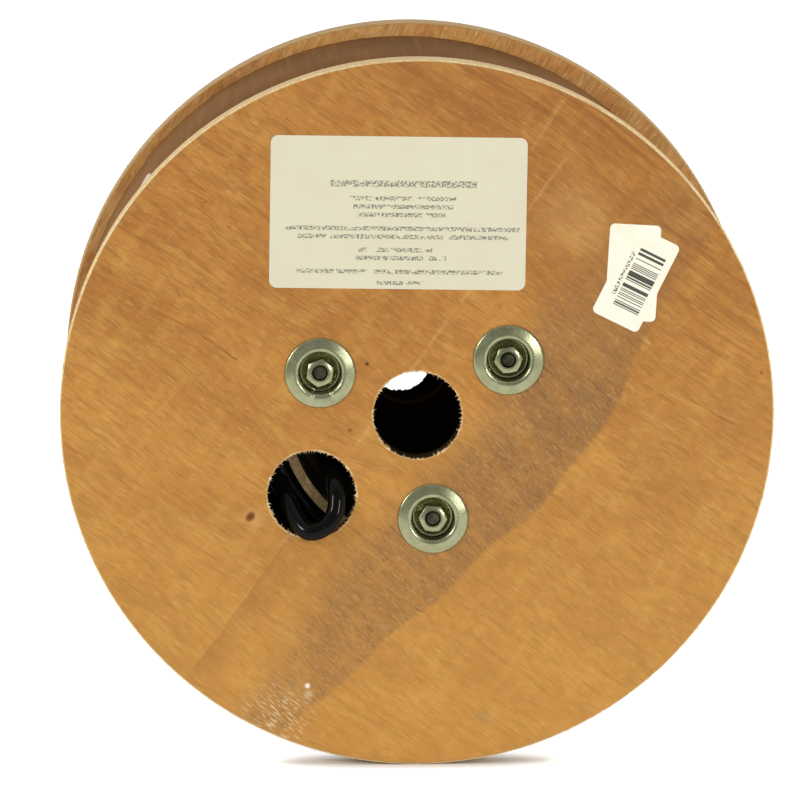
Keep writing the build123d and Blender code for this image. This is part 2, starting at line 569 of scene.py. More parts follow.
    def face_marks(
        self, add: Add, place: Socket, grain: Socket, colour: Socket, gloss: Socket
    ) -> tuple[Socket, Socket]:
        """Adds what is on this one front face: tone changes, tape film, lines and small marks.

        Args:
            add: Adds a node to this material's tree.
            place: Coordinates in the drum's frame.
            grain: Coordinates turned to the grain.
            colour: The veneer's colour.
            gloss: The veneer's roughness.

        Returns:
            The colour and the roughness.
        """
        upper_right = add(
            "VectorMath", {0: place, 1: self.figure_side}, out="Value", operation="DOT_PRODUCT"
        )
        colour = self.tone_changes(add, place, grain, upper_right, colour)
        colour, film = self.tape_film(add, place, grain, upper_right, colour)
        gloss = add("Mix", {"Factor": film, "A": gloss, "B": self.film_rough}, data_type="FLOAT")
        wavering = self.bent(add, place, self.ripple, self.ripple_length, 2.0)
        for line in self.lines:
            mask = self.line_mask(add, wavering, line)
            colour = self.stain(add, colour, mask, line.share, line.colour)
        for spot in self.spots:
            centre = (spot.x * MM, -self.half_width * MM, spot.z * MM)
            gap = add("VectorMath", {0: place, 1: centre}, out="Value", operation="DISTANCE")
            outer, inner = (spot.radius + spot.soft) * MM, spot.radius * MM * 0.6
            mask = add(
                "MapRange",
                {"Value": gap, "From Min": outer, "From Max": inner},
                interpolation_type="SMOOTHSTEP",
            )
            colour = self.stain(add, colour, mask, spot.share, spot.colour)
        return colour, gloss

    def tone_changes(
        self, add: Add, place: Socket, grain: Socket, upper_right: Socket, colour: Socket
    ) -> Socket:
        """Darkens the veneer towards the top and the upper right, and paints floor-bounce light towards
        the bottom.

        Args:
            add: Adds a node to this material's tree.
            place: Coordinates in the drum's frame.
            grain: Coordinates turned to the grain.
            upper_right: How far a place lies to the upper right.
            colour: The veneer's colour.

        Returns:
            The colour.
        """
        rising = add(
            "MapRange",
            {"Value": upper_right, "From Min": 70.0 * MM, "From Max": 135.0 * MM},
            interpolation_type="SMOOTHSTEP",
        )
        ribbons = self.pattern(add, grain, (60.0, 4.0, 2.0), 0.42, 0.68, 3.0)
        dark = add("Math", {0: ribbons, 1: rising}, operation="MULTIPLY")
        colour = self.stain(add, colour, dark, 0.58, self.figure)
        height = add("SeparateXYZ", {0: place}, out="Z")
        # Painted light: the face pales towards the bottom, as light bounced from the floor would make
        # it.
        painted_bounce_light = add("MapRange", {"Value": height, "From Min": 80.0 * MM, "From Max": -130.0 * MM})
        colour = self.stain(add, colour, painted_bounce_light, 0.40, self.veneer_pale)
        climbing = add("MapRange", {"Value": height, "From Min": 0.0, "From Max": 130.0 * MM})
        return self.stain(add, colour, climbing, 0.20, self.figure)

    def tape_film(
        self, add: Add, place: Socket, grain: Socket, upper_right: Socket, colour: Socket
    ) -> tuple[Socket, Socket]:
        """Lays the film that tape has left over the veneer, with its strokes, flecks and glints.

        Args:
            add: Adds a node to this material's tree.
            place: Coordinates in the drum's frame.
            grain: Coordinates turned to the grain.
            upper_right: How far a place lies to the upper right.
            colour: The veneer's colour.

        Returns:
            The colour, and where the film lies.
        """
        band = self.residue_mask(add, place)
        strokes = add(
            "VectorRotate",
            {"Vector": place, "Axis": (0.0, 1.0, 0.0), "Angle": math.radians(self.film_angle)},
            rotation_type="AXIS_ANGLE",
        )
        smears = self.pattern(add, strokes, (14.0, 4.0, 3.0), 0.28, 0.70, 4.0)
        smears = add("MapRange", {"Value": smears, "To Min": 0.45, "To Max": 1.0})
        film = add("Math", {0: band, 1: smears}, operation="MULTIPLY")
        thick = add(
            "MapRange",
            {"Value": upper_right, "From Min": -120.0 * MM, "From Max": 40.0 * MM, "To Min": 0.52},
        )
        thin = add(
            "MapRange",
            {
                "Value": upper_right,
                "From Min": 50.0 * MM,
                "From Max": 105.0 * MM,
                "To Min": 1.0,
                "To Max": 0.3,
            },
        )
        thick = add("Math", {0: thick, 1: thin}, operation="MULTIPLY")
        film = add("Math", {0: film, 1: thick}, operation="MULTIPLY")
        colour = self.stain(add, colour, film, 0.76, self.residue)
        # The film's strokes and flecks are finer than this; they are drawn coarser so that they show.
        for cell, low, share, tint in (
            ((6.0, 1.0, 0.8), 0.52, 0.52, self.film_stroke),
            ((2.6, 1.0, 0.9), 0.51, 0.29, self.film_fleck),
        ):
            marks = self.pattern(add, strokes, cell, low, low + 0.20, 3.0)
            marks = add("Math", {0: marks, 1: band}, operation="MULTIPLY")
            marks = add("Math", {0: marks, 1: thin}, operation="MULTIPLY")
            colour = self.stain(add, colour, marks, share, tint)
        end = tuple(c * MM for c in self.film_end)
        gap = add("VectorMath", {0: place, 1: end}, out="Value", operation="DISTANCE")
        low_end = add("MapRange", {"Value": gap, "From Min": 18.0 * MM, "From Max": 6.0 * MM})
        glints = self.pattern(add, grain, (4.0, 1.0, 0.6), 0.53, 0.66, 1.0)
        glints = add("Math", {0: glints, 1: low_end}, operation="MULTIPLY")
        return self.stain(add, colour, glints, 0.56, self.glint), film

    def line_mask(self, add: Add, place: Socket, mark: FaceLine) -> Socket:
        """Draws a thin, worn line.

        Args:
            add: Adds a node to this material's tree.
            place: Coordinates in the drum's frame.
            mark: The line.

        Returns:
            A mask from 0 to 1.
        """
        start, end = Vector(mark.start), Vector(mark.end)
        along = (end - start).normalized()
        across = (along.y, 0.0, -along.x)
        offset = -(along.y * start.x - along.x * start.y) * MM
        gap = add("VectorMath", {0: place, 1: across}, out="Value", operation="DOT_PRODUCT")
        gap = add("Math", {0: gap, 1: offset}, operation="ADD")
        near = add("Math", {0: gap}, operation="ABSOLUTE")
        line = add("MapRange", {"Value": near, "From Min": mark.width * MM, "From Max": 0.2 * MM})
        if mark.one_sided:
            right = add("Math", {0: gap, 1: 0.0}, operation="GREATER_THAN")
            line = add("Math", {0: line, 1: right}, operation="MULTIPLY")
        lengthwise = (along.x, 0.0, along.y)
        run = add("VectorMath", {0: place, 1: lengthwise}, out="Value", operation="DOT_PRODUCT")
        first, last = start.dot(along) * MM, end.dot(along) * MM
        begun = add("Math", {0: run, 1: first}, operation="GREATER_THAN")
        ended = add("Math", {0: run, 1: last}, operation="LESS_THAN")
        line = add("Math", {0: line, 1: begun}, operation="MULTIPLY")
        line = add("Math", {0: line, 1: ended}, operation="MULTIPLY")
        if mark.one_sided:
            return line
        worn = self.pattern(add, place, (9.0, 9.0, 9.0), 0.34, 0.55, 2.0)
        return add("Math", {0: line, 1: worn}, operation="MULTIPLY")

    def residue_mask(self, add: Add, place: Socket) -> Socket:
        """Draws the broad film that tape has left across the face, from lower left to upper right.

        Args:
            add: Adds a node to this material's tree.
            place: Coordinates in the drum's frame.

        Returns:
            A mask from 0 to 1.
        """
        turn = math.radians(self.residue_turn)
        reach = self.residue_reach
        lengthwise = (math.cos(turn), 0.0, math.sin(turn))
        sideways = (math.sin(turn), 0.0, -math.cos(turn))
        along = add("VectorMath", {0: place, 1: lengthwise}, out="Value", operation="DOT_PRODUCT")
        across = add("VectorMath", {0: place, 1: sideways}, out="Value", operation="DOT_PRODUCT")
        share = add("MapRange", {"Value": along, "From Min": -reach * MM, "From Max": reach * MM})
        fray = add("TexNoise", {"Vector": place, "Scale": PER_MM / 7.0, "Detail": 3.0})
        sides = []
        # Each edge has its line, how soft it is, its side of the film and how ragged it is.
        edges = (
            (self.residue_low_edge, 1.2, 1.0, 3.0),
            (self.residue_high_edge, 9.0, -1.0, 10.0),
        )
        for edge, soft, sign, rough in edges:
            line = [((t + reach) / (2 * reach), n / 100.0) for t, n in edge]
            level = add("FloatCurve", {"Value": share}, curve=line)
            wavy = add("Math", {0: fray, 1: rough / 100.0, 2: level}, operation="MULTIPLY_ADD")
            gap = add("Math", {0: wavy, 1: 0.1}, operation="MULTIPLY")
            gap = add("Math", {0: gap, 1: across}, operation="SUBTRACT")
            sides.append(
                add(
                    "MapRange",
                    {"Value": gap, "From Min": -soft * MM * sign, "From Max": soft * MM * sign},
                    interpolation_type="SMOOTHSTEP",
                )
            )
        return add("Math", {0: sides[0], 1: sides[1]}, operation="MULTIPLY")


@dataclass(frozen=True)
class TornVeneer(Finish):
    """Torn okoume fibres at a drilled or sawn edge: pale, dry and matt, with no finish on them.

    They give the eye a light fringe without any highlight.
    """

    pale: str = "#F0DBB0"
    deep: str = "#C99C5C"

    def shade(self, add: Add) -> Socket:
        """Builds the torn wood shader.

        Args:
            add: Adds a node to this material's tree.

        Returns:
            The shader socket.
        """
        place = add("TexCoord", out="Object")
        tone = self.pattern(add, place, (1.6, 1.6, 1.6), 0.32, 0.68, 2.0)
        colour = add(
            "Mix",
            {"Factor": tone, "A": linear(self.pale), "B": linear(self.deep)},
            data_type="RGBA",
        )
        return add("BsdfPrincipled", {"Base Color": colour, "Roughness": 0.85, "IOR": 1.5})


@dataclass(frozen=True)
class KraftBoard(Finish):
    """Fluted kraft board: unbleached brown liner, pressed and uncoated, with fibres in it.

    It gives the eye a flat warm brown without gloss, a little lighter along its fibres.
    """

    liner: str = "#8E6236"
    liner_deep: str = "#7C542B"
    fibre: str = "#9E7A4B"

    def shade(self, add: Add) -> Socket:
        """Builds the board shader.

        Args:
            add: Adds a node to this material's tree.

        Returns:
            The shader socket.
        """
        place = add("TexCoord", out="Object")
        cloud = self.pattern(add, place, (40.0, 60.0, 40.0), 0.3, 0.7, 3.0)
        colour = add(
            "Mix",
            {"Factor": cloud, "A": linear(self.liner), "B": linear(self.liner_deep)},
            data_type="RGBA",
        )
        streaks = self.pattern(add, place, (2.2, 90.0, 2.2), 0.5, 0.75, 2.0)
        colour = self.stain(add, colour, streaks, 0.30, self.fibre)
        # Paper fibres are about 0.05 mm thick; they are drawn coarser so that they show.
        fibres = self.pattern(add, place, (0.9, 2.6, 0.9), 0.58, 0.75, 2.0)
        colour = self.stain(add, colour, fibres, 0.35, self.fibre)
        bump = add("Bump", {"Height": fibres, "Strength": 0.2, "Distance": 0.1 * MM})
        return add(
            "BsdfPrincipled",
            {
                "Base Color": colour,
                "Roughness": 0.9,
                "IOR": 1.5,
                "Specular IOR Level": 0.12,
                "Normal": bump,
            },
        )


@dataclass(frozen=True)
class WoundTubeBoard(Finish):
    """Spirally wound tube board: grey-tan plies glued in layers, cut square, fuzzy on the cut.

    It gives the eye fine rings on the cut end, and a bore painted nearly black as shade.
    """

    ply: str = "#917A56"
    ply_deep: str = "#725E40"
    # Painted shade: the colour of the tube's bore.
    inside: str = "#1C1510"
    layer: float = 0.55
    inner_radius: float = 50.0

    def shade(self, add: Add) -> Socket:
        """Builds the tube shader.

        Args:
            add: Adds a node to this material's tree.

        Returns:
            The shader socket.
        """
        place = add("TexCoord", out="Object")
        flat = add("VectorMath", {0: place, 1: (1.0, 0.0, 1.0)}, operation="MULTIPLY")
        radius = add("VectorMath", {0: flat}, out="Value", operation="LENGTH")
        layers = add("Math", {0: radius, 1: self.layer * MM}, operation="PINGPONG")
        lines = add("MapRange", {"Value": layers, "From Max": self.layer * MM})
        # The fuzz on the cut is finer than this; it is drawn coarser so that it shows.
        fuzz = self.pattern(add, place, (1.1, 1.1, 1.1), 0.35, 0.7, 3.0)
        tone = add("Math", {0: lines, 1: 0.5, 2: fuzz}, operation="MULTIPLY_ADD")
        colour = add(
            "Mix",
            {"Factor": tone, "A": linear(self.ply), "B": linear(self.ply_deep)},
            data_type="RGBA",
        )
        # The bore wall gets painted shade, nearly black.
        outer, inner = (self.inner_radius + 0.4) * MM, (self.inner_radius + 0.1) * MM
        shaded_bore = add("MapRange", {"Value": radius, "From Min": outer, "From Max": inner})
        colour = self.stain(add, colour, shaded_bore, 0.9, self.inside)
        bump = add("Bump", {"Height": fuzz, "Strength": 0.3, "Distance": 0.15 * MM})
        return add(
            "BsdfPrincipled",
            {
                "Base Color": colour,
                "Roughness": 0.9,
                "IOR": 1.5,
                "Specular IOR Level": 0.15,
                "Normal": bump,
            },
        )


@dataclass(frozen=True)
class PolyethyleneSheath(Finish):
    """Black polyethylene sheath, extruded: smooth and glossy, with faint handling scuffs.

    It gives the eye a deep black with narrow, clear highlights.
    """

    black: str = "#070706"
    scuff: str = "#141412"

    def shade(self, add: Add) -> Socket:
        """Builds the sheath shader.

        Args:
            add: Adds a node to this material's tree.

        Returns:
            The shader socket.
        """
        place = add("TexCoord", out="Object")
        scuffs = self.pattern(add, place, (2.5, 2.5, 2.5), 0.55, 0.75, 3.0)
        colour = add(
            "Mix",
            {"Factor": scuffs, "A": linear(self.black), "B": linear(self.scuff)},
            data_type="RGBA",
        )
        gloss = add("MapRange", {"Value": scuffs, "To Min": 0.10, "To Max": 0.18})
        return add(
            "BsdfPrincipled",
            {"Base Color": colour, "Roughness": gloss, "IOR": 1.51, "Specular IOR Level": 0.14},
        )


@dataclass(frozen=True)
class ZincPlate(Finish):
    """Zinc plate on pressed or forged steel, clear passivated: grey-green and a little blotched.

    It gives the eye a satin metal whose reflections are soft but can still be read.
    """

    zinc: str = "#B2B48F"
    zinc_deep: str = "#A1A37E"
    rough_low: float = 0.26
    rough_high: float = 0.34

    def shade(self, add: Add) -> Socket:
        """Builds the zinc shader.

        Args:
            add: Adds a node to this material's tree.

        Returns:
            The shader socket.
        """
        place = add("TexCoord", out="Object")
        blotch = self.pattern(add, place, (4.0, 4.0, 4.0), 0.3, 0.7, 3.0)
        colour = add(
            "Mix",
            {"Factor": blotch, "A": linear(self.zinc), "B": linear(self.zinc_deep)},
            data_type="RGBA",
        )
        # The plate's grain is about 0.05 mm; it is drawn coarser so that it shows.
        grit = self.pattern(add, place, (0.6, 0.6, 0.6), 0.35, 0.7, 2.0)
        gloss = add("MapRange", {"Value": grit, "To Min": self.rough_low, "To Max": self.rough_high})
        bump = add("Bump", {"Height": grit, "Strength": 0.05, "Distance": 0.05 * MM})
        return add(
            "BsdfPrincipled",
            {"Base Color": colour, "Metallic": 1.0, "Roughness": gloss, "Normal": bump},
        )


@dataclass(frozen=True)
class CoatedPaper(Finish):
    """Coated label paper: cream, calendered to a satin, with grey-black print.

    It gives the eye an even pale sheet with a faint cloud in it, and print that is duller.
    """

    print: Print = Print.BARE
    centre: tuple[float, float] = (0.0, 0.0)
    turn: float = 0.0
    paper: str = "#E3DDC1"
    paper_deep: str = "#E1DABE"
    ink: str = "#1A1814"
    rows: tuple[tuple[float, float, float, float], ...] = (
        (11.4, -26.5, 30.5, 2.6),
        (5.6, -19.0, 22.5, 1.7),
        (2.4, -17.5, 21.5, 1.7),
        (-0.8, -15.5, 18.5, 1.7),
        (-6.2, -44.0, 47.5, 1.7),
        (-9.4, -39.0, 43.0, 1.7),
        (-14.6, -15.5, 13.5, 1.7),
        (-17.8, -16.5, 19.0, 1.7),
        (-23.2, -39.5, 41.0, 1.7),
        (-27.6, -8.0, 10.5, 1.5),
    )
    bars: tuple[float, float, float, float] = (-3.8, 7.1, -12.6, 12.4)
    bar_step: float = 0.36
    bar_start: float = 5.0
    bar_chance: float = 0.48
    ticks: tuple[float, float, float, float] = (-6.2, -4.7, -9.1, 9.4)

    def shade(self, add: Add) -> Socket:
        """Builds the paper shader.

        Args:
            add: Adds a node to this material's tree.

        Returns:
            The shader socket.
        """
        place = add("TexCoord", out="Object")
        cloud = self.pattern(add, place, (11.0, 11.0, 11.0), 0.3, 0.7, 3.0)
        colour = add(
            "Mix",
            {"Factor": cloud, "A": linear(self.paper), "B": linear(self.paper_deep)},
            data_type="RGBA",
        )
        if self.print is not Print.BARE:
            centre = (self.centre[0] * MM, 0.0, self.centre[1] * MM)
            local = add("VectorMath", {0: place, 1: centre}, operation="SUBTRACT")
            local = add(
                "VectorRotate",
                {"Vector": local, "Axis": (0.0, 1.0, 0.0), "Angle": math.radians(self.turn)},
                rotation_type="AXIS_ANGLE",
            )
            x = add("SeparateXYZ", {0: local}, out="X")
            z = add("SeparateXYZ", {0: local}, out="Z")
            draw = self.row_mask if self.print is Print.ROWS else self.bar_mask
            mask, share = draw(add, x, z)
            colour = self.stain(add, colour, mask, share, self.ink)
        return add("BsdfPrincipled", {"Base Color": colour, "Roughness": 0.45, "IOR": 1.5})

    def inside(self, add: Add, value: Socket, low: float, high: float) -> Socket:
        """Masks a coordinate between two places.

        Args:
            add: Adds a node to this material's tree.
            value: The coordinate, in metres.
            low: The lower place.
            high: The upper place.

        Returns:
            1 between the places and 0 outside them.
        """
        middle, half = (low + high) / 2 * MM, (high - low) / 2 * MM
        return add("Math", {0: value, 1: middle, 2: half}, operation="COMPARE")

    def box(
        self, add: Add, x: Socket, z: Socket, edges: tuple[float, float, float, float]
    ) -> Socket:
        """Masks a rectangle on the paper.

        Args:
            add: Adds a node to this material's tree.
            x: The coordinate across the paper.
            z: The coordinate up the paper.
            edges: Its left, right, lower and upper edges, in millimetres.

        Returns:
            1 inside the rectangle and 0 outside it.
        """
        left, right, low, high = edges
        wide, tall = self.inside(add, x, left, right), self.inside(add, z, low, high)
        return add("Math", {0: wide, 1: tall}, operation="MULTIPLY")

    def row_mask(self, add: Add, x: Socket, z: Socket) -> tuple[Socket, float]:
        """Draws rows of short dashes that stand for small print.

        Args:
            add: Adds a node to this material's tree.
            x: The coordinate along the rows.
            z: The coordinate up the label.

        Returns:
            The mask and how strongly it prints.
        """
        total = None
        for level, first, last, height in self.rows:
            row = self.box(add, x, z, (first, last, level - height / 2, level + height / 2))
            total = add("Math", {0: total, 1: row}, operation="MAXIMUM") if total else row
        local = add("CombineXYZ", {0: x, 2: z})
        strokes = self.pattern(add, local, (0.8, 1.0, 0.75), 0.40, 0.60, 1.0)
        gaps = self.pattern(add, local, (4.2, 1.0, 3.2), 0.33, 0.40, 0.0)
        broken = add("Math", {0: strokes, 1: gaps}, operation="MULTIPLY")
        return add("Math", {0: total, 1: broken}, operation="MULTIPLY"), 0.72

    def bar_mask(self, add: Add, x: Socket, z: Socket) -> tuple[Socket, float]:
        """Draws a field of bars of random widths.

        Args:
            add: Adds a node to this material's tree.
            x: The coordinate along the bars.
            z: The coordinate across the bars.

        Returns:
            The mask and how strongly it prints.
        """
        field = self.box(add, x, z, self.bars)
        pitch = PER_MM / self.bar_step
        step = add("Math", {0: z, 1: pitch, 2: self.bar_start}, operation="MULTIPLY_ADD")
        step = add("Math", {0: step}, operation="FLOOR")
        chance = add("TexWhiteNoise", {"W": step}, out="Value", noise_dimensions="1D")
        bar = add("Math", {0: chance, 1: self.bar_chance}, operation="GREATER_THAN")
        bars = add("Math", {0: field, 1: bar}, operation="MULTIPLY")
        beside = self.box(add, x, z, self.ticks)
        local = add("CombineXYZ", {0: x, 2: z})
        ticks = self.pattern(add, local, (0.75, 1.0, 0.8), 0.46, 0.60, 1.0)
        row = add("Math", {0: beside, 1: ticks}, operation="MULTIPLY")
        return add("Math", {0: bars, 1: row}, operation="MAXIMUM"), 0.93


@dataclass(frozen=True)
class StudioFloor(Finish):
    """Matt white paper sweep that ends in a dim room in front of the drum.

    It gives the eye plain white, with a soft shadow close under the drum.
    """

    white: str = "#E8E8E6"
    glow: float = 0.80
    bounce: float = 0.22
    mirrored: float = 0.40
    contact: float = 0.011
    contact_power: float = 3.0
    contact_samples: int = 4
    sheet_ends: float = 0.45

    def shade(self, add: Add) -> Socket:
        """Builds the floor shader.

        Args:
            add: Adds a node to this material's tree.

        Returns:
            The shader socket.
        """
        seen = seen_rays(add)
        glossy = add("LightPath", out="Is Glossy Ray")
        strength = add("MapRange", {"Value": seen, "To Min": self.bounce, "To Max": self.glow})
        strength = add("Mix", {"Factor": glossy, "A": strength, "B": self.mirrored}, data_type="FLOAT")
        open_sky = add(
            "AmbientOcclusion",
            {"Distance": self.contact},
            out="AO",
            samples=self.contact_samples,
        )
        open_sky = add("Math", {0: open_sky, 1: self.contact_power}, operation="POWER")
        strength = add("Math", {0: strength, 1: open_sky}, operation="MULTIPLY")
        glow = add("Emission", {"Color": (1.0, 1.0, 1.0, 1.0), "Strength": strength})
        matt = add("BsdfDiffuse", {"Color": linear(self.white)})
        paper = add("AddShader", {0: matt, 1: glow})
        depth = add("SeparateXYZ", {0: add("TexCoord", out="Object")}, out="Y")
        far = add(
            "MapRange",
            {"Value": depth, "From Min": -self.sheet_ends, "From Max": -2.0 * self.sheet_ends},
        )
        mirrored = add("Math", {0: far, 1: glossy}, operation="MULTIPLY")
        room = add("Emission", {"Color": (1.0, 1.0, 1.0, 1.0), "Strength": Studio.room})
        return add("MixShader", {0: mirrored, 1: paper, 2: room})


def seen_rays(add: Add) -> Socket:
    """Tells the rays that see the background, directly or in a reflection, from those that light.

    Args:
        add: Adds a node to a tree.

    Returns:
        1 for camera, glossy and transmission rays, and 0 for others.
    """
    camera = add("LightPath", out="Is Camera Ray")
    rays = camera.node.outputs
    seen = add("Math", {0: camera, 1: rays["Is Glossy Ray"]}, operation="MAXIMUM")
    return add("Math", {0: seen, 1: rays["Is Transmission Ray"]}, operation="MAXIMUM")


def arc(centre: tuple[float, float], radius: float, start: float, end: float, steps: int) -> Outline:
    """Lists the points of an arc.

    Args:
        centre: Its centre, as radius and height.
        radius: Its radius.
        start: The angle it starts at, in degrees from outward to upward.
        end: The angle it ends at.
        steps: How many runs it has.

    Returns:
        Points as radius and height.
    """
    angles = [math.radians(start + (end - start) * i / steps) for i in range(steps + 1)]
    return [(centre[0] + radius * math.cos(a), centre[1] + radius * math.sin(a)) for a in angles]


def ring_faces(rings: int, around: int) -> list[tuple[int, ...]]:
    """Lists the quads of closed rings joined in a closed loop.

    Args:
        rings: How many rings there are.
        around: How many points each ring has.

    Returns:
        Faces as point numbers.
    """
    faces = []
    for i in range(rings):
        here, there = i * around, (i + 1) % rings * around
        for j in range(around):
            k = (j + 1) % around
            faces.append((here + j, here + k, there + k, there + j))
    return faces


def make_piece(
    name: str,
    points: Sequence[Point],
    faces: Sequence[Sequence[int]],
    finish: Finish,
    sharp: float = 40.0,
) -> bpy.types.Object:
    """Makes a mesh piece, dresses it and fixes it to the drum.

    Args:
        name: The piece's name.
        points: Its points, in millimetres.
        faces: Its faces, as point numbers.
        finish: What it is made of.
        sharp: Edges sharper than this angle, in degrees, stay sharp.

    Returns:
        The object.
    """
    mesh = bpy.data.meshes.new(name)
    mesh.from_pydata([tuple(c * MM for c in p) for p in points], [], [tuple(f) for f in faces])
    shape = bmesh.new()
    shape.from_mesh(mesh)
    bmesh.ops.remove_doubles(shape, verts=shape.verts, dist=1e-8)
    bmesh.ops.recalc_face_normals(shape, faces=shape.faces)
    shape.to_mesh(mesh)
    shape.free()
    mesh.shade_smooth()
    mesh.set_sharp_from_angle(angle=math.radians(sharp))
    mesh.materials.append(finish.material())
    piece = bpy.data.objects.new(name, mesh)
    bpy.context.scene.collection.objects.link(piece)
    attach(piece, "root")
    return piece


def dress(node: str, finish: Finish) -> bpy.types.Object:
    """Gives a CAD node its finish.

    Args:
        node: The node's name.
        finish: What it is made of.

    Returns:
        The node's object.
    """
    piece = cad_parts[node]
    piece.data.materials.clear()
    piece.data.materials.append(finish.material())
    return piece


@dataclass
class Flanges:
    """The two plywood boards and the torn fibres at their sawn edges."""

    radius: float = 140.0
    outer_face: float = 70.0
    inner_face: float = 58.0
    bore: float = 17.5
    start_hole: tuple[float, float] = (-41.42, -31.44)
    fibre: float = 0.24
    lip_points: int = 320
    lip_fibres: int = 70
    rim_fibres: int = 260
    torn_points: int = 240
    torn_centre: tuple[float, float] = (-3.5, -0.6)
    torn_radius: float = 13.4
    torn: TornVeneer = TornVeneer("torn_okoume_veneer")
    burnt: TornVeneer = TornVeneer("burnt_okoume_veneer", pale="#4A3420", deep="#2A1B0E")

    def build(self) -> list[bpy.types.Object]:
        """Dresses the boards and adds their torn edges.

        Returns:
            The pieces.
        """
        front = OkoumePlywood("okoume_plywood_front", bores=((0.0, 0.0), self.start_hole))
        rear = OkoumePlywood(
            "okoume_plywood_rear",
            Side.REAR,
            veneer_deep="#CA8D49",
            veneer="#D79E56",
            veneer_pale="#E4BD7D",
            pore="#7E4A1A",
            figure="#9A632F",
            fleck="#F2D6A2",
            fleck_share=0.5,
            grain_angle=62.0,
            # Painted shade: the rear edge's plies are a darker copy of the front's ply colours.
            ply_long="#D0AC72",
            ply_end="#B7925A",
        )
        return [
            dress("front_flange", front),
            dress("rear_flange", rear),
            self.lip("front_bore_lip", (0.0, 0.0), Side.FRONT, 11),
            self.lip("start_hole_lip", self.start_hole, Side.FRONT, 12),
            self.torn_ply("rear_bore_torn_ply", 16),
            self.rim_splinters("front_rim_splinters", Side.FRONT, 14),
            self.rim_splinters("rear_rim_splinters", Side.REAR, 15),
        ]

    def needle(
        self, root: Vector, tip: Vector, width: float
    ) -> tuple[list[Point], list[tuple[int, ...]]]:
        """Makes one splinter as a four-sided spike.

        Args:
            root: Where it leaves the wood.
            tip: Its point.
            width: Its thickness at the root.

        Returns:
            Its points and faces.
        """
        run = (tip - root).normalized()
        side = run.cross(Vector((0.31, 0.77, 0.55))).normalized() * width / 2
        lift = run.cross(side).normalized() * width / 2
        points = [root + side, root + lift, root - side, root - lift, tip]
        faces = [(0, 1, 4), (1, 2, 4), (2, 3, 4), (3, 0, 4), (3, 2, 1, 0)]
        return [tuple(p) for p in points], faces

    def lip(self, name: str, centre: tuple[float, float], side: Side, seed: int) -> bpy.types.Object:
        """Makes the ragged lip of torn veneer round a drilled hole.

        Args:
            name: The piece's name.
            centre: The hole's centre, as X and Z.
            side: The flange it is on.
            seed: Seeds the tears.

        Returns:
            The piece.
        """
        dice = random.Random(seed)
        around = self.lip_points
        waves = [(dice.randint(2, 9), dice.uniform(0, math.tau)) for _ in range(4)]
        rings: list[list[Point]] = [[], [], [], []]
        for i in range(around):
            angle = math.tau * i / around
            swell = 0.5 + 0.125 * sum(math.sin(n * angle + phase) for n, phase in waves)
            out = 0.15 + 0.75 * swell * dice.uniform(0.4, 1.4)
            tear = 0.05 + 1.1 * swell * dice.random() ** 2.5
            deep = dice.uniform(0.1, 0.7)
            crest = 0.09 * dice.uniform(0.5, 1.2)
            section = [(out, -0.05), (0.12, crest), (-tear, -deep), (0.05, -1.6)]
            for ring, (reach, height) in zip(rings, section):
                radius = self.bore + reach
                ring.append(
                    (
                        centre[0] + radius * math.cos(angle),
                        side.value * (self.outer_face + height),
                        centre[1] + radius * math.sin(angle),
                    )
                )
        points = [p for ring in rings for p in ring]
        faces = ring_faces(4, around)
        middle = Vector((centre[0], side.value * (self.outer_face - 0.1), centre[1]))
        for _ in range(self.lip_fibres):
            angle = dice.uniform(0, math.tau)
            spoke = Vector((math.cos(angle), 0.0, math.sin(angle)))
            swing = Vector((-spoke.z, 0.0, spoke.x)) * dice.uniform(-1.0, 1.0)
            root = middle + spoke * (self.bore + 0.15)
            inward = dice.uniform(0.6, 1.7)
            lift = side.value * dice.uniform(-0.5, 0.3)
            tip = root - spoke * inward + swing + Vector((0.0, lift, 0.0))
            more, sides = self.needle(root, tip, self.fibre * dice.uniform(1.0, 2.4))
            faces += [tuple(n + len(points) for n in f) for f in sides]
            points += more
        return make_piece(name, points, faces, self.torn)

    def torn_ply(self, name: str, seed: int) -> bpy.types.Object:
        """Makes the last ply round the rear bore, which the saw tore instead of cutting.

        Args:
            name: The piece's name.
            seed: Seeds the tears.

        Returns:
            The piece.
        """
        dice = random.Random(seed)
        around = self.torn_points
        rings: list[list[Point]] = [[], [], [], []]
        for i in range(around):
            angle = math.tau * i / around
            spoke = Vector((math.cos(angle), math.sin(angle)))
            torn = Vector(self.torn_centre) + spoke * (self.torn_radius - 0.9 * dice.random() ** 3)
            edge = spoke * (self.bore + 0.2)
            if torn.length > self.bore:
                torn = spoke * (self.bore - 0.05)
            section = ((edge, 0.05), (torn, 0.1), (torn, 0.6), (edge, 0.9))
            for ring, (spot, depth) in zip(rings, section):
                ring.append((spot.x, self.outer_face - depth, spot.y))
        points = [p for ring in rings for p in ring]
        return make_piece(name, points, ring_faces(4, around), self.burnt)

